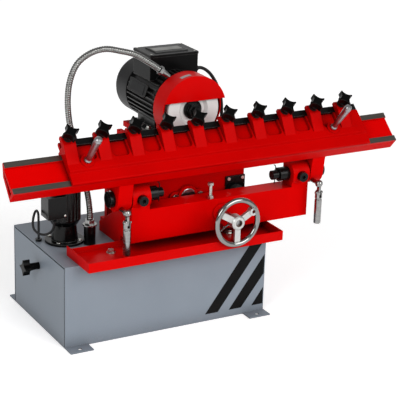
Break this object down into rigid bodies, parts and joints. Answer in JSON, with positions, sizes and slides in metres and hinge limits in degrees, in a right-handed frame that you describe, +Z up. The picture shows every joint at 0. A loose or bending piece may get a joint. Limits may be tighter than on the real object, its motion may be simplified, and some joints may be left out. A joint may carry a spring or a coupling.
{
  "type": "planer knife grinder",
  "caption": "Bench planer-knife grinder: a tilting slide beam carries a clamped knife holder past a motor-driven cup wheel, with hand infeed, coolant pump and drawer.",
  "frame": {"origin": "centre of the four foot holes, on the floor", "axes": "+X along the beam to the operator's right, +Y to the motor, +Z up"},
  "size_m": [0.955, 0.43, 0.633],
  "materials": {
    "grey_enamel": "satin stove enamel on sheet steel",
    "red_enamel": "gloss enamel on sheet steel",
    "red_casting": "gloss enamel on cast iron",
    "black_casting": "satin black paint on cast aluminium",
    "black_plastic": "matt moulded plastic",
    "black_rubber": "matt",
    "black_steel": "black oxide",
    "ground_steel": "ground",
    "zinc_steel": "zinc plated",
    "hose_steel": "coiled bright strip",
    "chrome": "polished",
    "polished_aluminium": "polished",
    "bronze": "machined",
    "white_abrasive": "matt vitrified grit"
  },
  "bodies": {
    "base": {"base_cabinet": "grey_enamel", "drip_tray": "red_enamel", "tray_bolts": "zinc_steel", "main_frame": "red_casting", "pivot_shafts": "black_steel", "shaft_collars": "black_steel", "ear_screws": "black_steel", "stop_bolt": "zinc_steel", "rear_bracket": "red_casting", "guide_rods": "ground_steel", "screw_bush": "red_casting", "infeed_lock": "chrome", "pump_base": "black_casting", "pump_motor": "black_plastic", "pump_lead": "black_rubber", "riser_pipe": "black_plastic", "gooseneck_hose": "hose_steel", "hose_fittings": "chrome"},
    "drawer": {"coolant_drawer": "grey_enamel", "drawer_knob": "black_plastic"},
    "beam": {"swing_beam": "red_casting", "slide_ways": "ground_steel"},
    "lever_left": {"lock_stud_left": "chrome", "lock_handle_left": "chrome"},
    "lever_right": {"lock_stud_right": "chrome", "lock_handle_right": "chrome"},
    "holder": {"knife_holder": "red_casting", "clamp_bar": "black_steel", "push_handles": "ground_steel"},
    "saddle": {"saddle": "red_casting", "guide_flange": "red_casting", "flange_bolts": "zinc_steel", "lead_nut": "bronze", "bellows_plates": "black_steel", "bellows_left": "black_rubber", "bellows_right": "black_rubber", "motor_body": "black_casting", "front_shield": "black_casting", "fan_cover": "black_plastic", "terminal_box": "black_plastic", "terminal_lid": "black_plastic", "motor_bolts": "zinc_steel", "wheel_guard": "red_enamel", "motor_lead": "black_rubber"},
    "infeed_screw": {"lead_screw": "ground_steel", "handwheel": "polished_aluminium"},
    "spindle": {"rotor_shaft": "ground_steel", "cooling_fan": "black_plastic", "grinding_wheel": "white_abrasive", "wheel_flange": "black_steel"},
    "clamp_knob_1": {"clamp_knob_1": "black_plastic"},
    "clamp_knob_2": {"clamp_knob_2": "black_plastic"},
    "clamp_knob_3": {"clamp_knob_3": "black_plastic"},
    "clamp_knob_4": {"clamp_knob_4": "black_plastic"},
    "clamp_knob_5": {"clamp_knob_5": "black_plastic"},
    "clamp_knob_6": {"clamp_knob_6": "black_plastic"},
    "clamp_knob_7": {"clamp_knob_7": "black_plastic"},
    "clamp_knob_8": {"clamp_knob_8": "black_plastic"},
    "clamp_knob_9": {"clamp_knob_9": "black_plastic"},
    "clamp_knob_10": {"clamp_knob_10": "black_plastic"}
  },
  "joints": [
    {"name": "drawer_slide", "type": "slide", "parent": "base", "child": "drawer", "axis": [-1, 0, 0], "range_m": [0, 0.28]},
    {"name": "beam_tilt", "type": "hinge", "parent": "base", "child": "beam", "pos_m": [0.14, -0.106, 0.314], "axis": [1, 0, 0], "range_deg": [-6, 12]},
    {"name": "lever_left_swing", "type": "hinge", "parent": "beam", "child": "lever_left", "pos_m": [-0.1118, -0.158, 0.297], "axis": [0, 1, 0], "range_deg": [0, 25]},
    {"name": "lever_right_swing", "type": "hinge", "parent": "beam", "child": "lever_right", "pos_m": [0.3765, -0.158, 0.297], "axis": [0, -1, 0], "range_deg": [0, 25]},
    {"name": "holder_slide", "type": "slide", "parent": "beam", "child": "holder", "axis": [1, 0, 0], "range_m": [-0.3, 0.3]},
    {"name": "infeed", "type": "slide", "parent": "base", "child": "saddle", "axis": [0, 1, 0], "range_m": [-0.006, 0.03]},
    {"name": "infeed_turn", "type": "hinge", "parent": "base", "child": "infeed_screw", "pos_m": [0.136, -0.2, 0.254], "axis": [0, -1, 0], "range_deg": [-545, 2705]},
    {"name": "spindle_spin", "type": "hinge", "parent": "saddle", "child": "spindle", "pos_m": [0.102, 0, 0.474], "axis": [0, 1, 0], "continuous": true},
    {"name": "clamp_knob_1_turn", "type": "hinge", "parent": "holder", "child": "clamp_knob_1", "pos_m": [-0.228, -0.08935, 0.44177], "axis": [0, -0.6626, 0.749], "range_deg": [-180, 180]},
    {"name": "clamp_knob_2_turn", "type": "hinge", "parent": "holder", "child": "clamp_knob_2", "pos_m": [-0.15189, -0.08935, 0.44177], "axis": [0, -0.6626, 0.749], "range_deg": [-180, 180]},
    {"name": "clamp_knob_3_turn", "type": "hinge", "parent": "holder", "child": "clamp_knob_3", "pos_m": [-0.07578, -0.08935, 0.44177], "axis": [0, -0.6626, 0.749], "range_deg": [-180, 180]},
    {"name": "clamp_knob_4_turn", "type": "hinge", "parent": "holder", "child": "clamp_knob_4", "pos_m": [0.00033, -0.08935, 0.44177], "axis": [0, -0.6626, 0.749], "range_deg": [-180, 180]},
    {"name": "clamp_knob_5_turn", "type": "hinge", "parent": "holder", "child": "clamp_knob_5", "pos_m": [0.07644, -0.08935, 0.44177], "axis": [0, -0.6626, 0.749], "range_deg": [-180, 180]},
    {"name": "clamp_knob_6_turn", "type": "hinge", "parent": "holder", "child": "clamp_knob_6", "pos_m": [0.15256, -0.08935, 0.44177], "axis": [0, -0.6626, 0.749], "range_deg": [-180, 180]},
    {"name": "clamp_knob_7_turn", "type": "hinge", "parent": "holder", "child": "clamp_knob_7", "pos_m": [0.22867, -0.08935, 0.44177], "axis": [0, -0.6626, 0.749], "range_deg": [-180, 180]},
    {"name": "clamp_knob_8_turn", "type": "hinge", "parent": "holder", "child": "clamp_knob_8", "pos_m": [0.30478, -0.08935, 0.44177], "axis": [0, -0.6626, 0.749], "range_deg": [-180, 180]},
    {"name": "clamp_knob_9_turn", "type": "hinge", "parent": "holder", "child": "clamp_knob_9", "pos_m": [0.38089, -0.08935, 0.44177], "axis": [0, -0.6626, 0.749], "range_deg": [-180, 180]},
    {"name": "clamp_knob_10_turn", "type": "hinge", "parent": "holder", "child": "clamp_knob_10", "pos_m": [0.457, -0.08935, 0.44177], "axis": [0, -0.6626, 0.749], "range_deg": [-180, 180]}
  ],
  "couplings": [
    {"joint": "infeed_turn", "follows": "infeed", "rad_per_m": 1570.8}
  ]
}
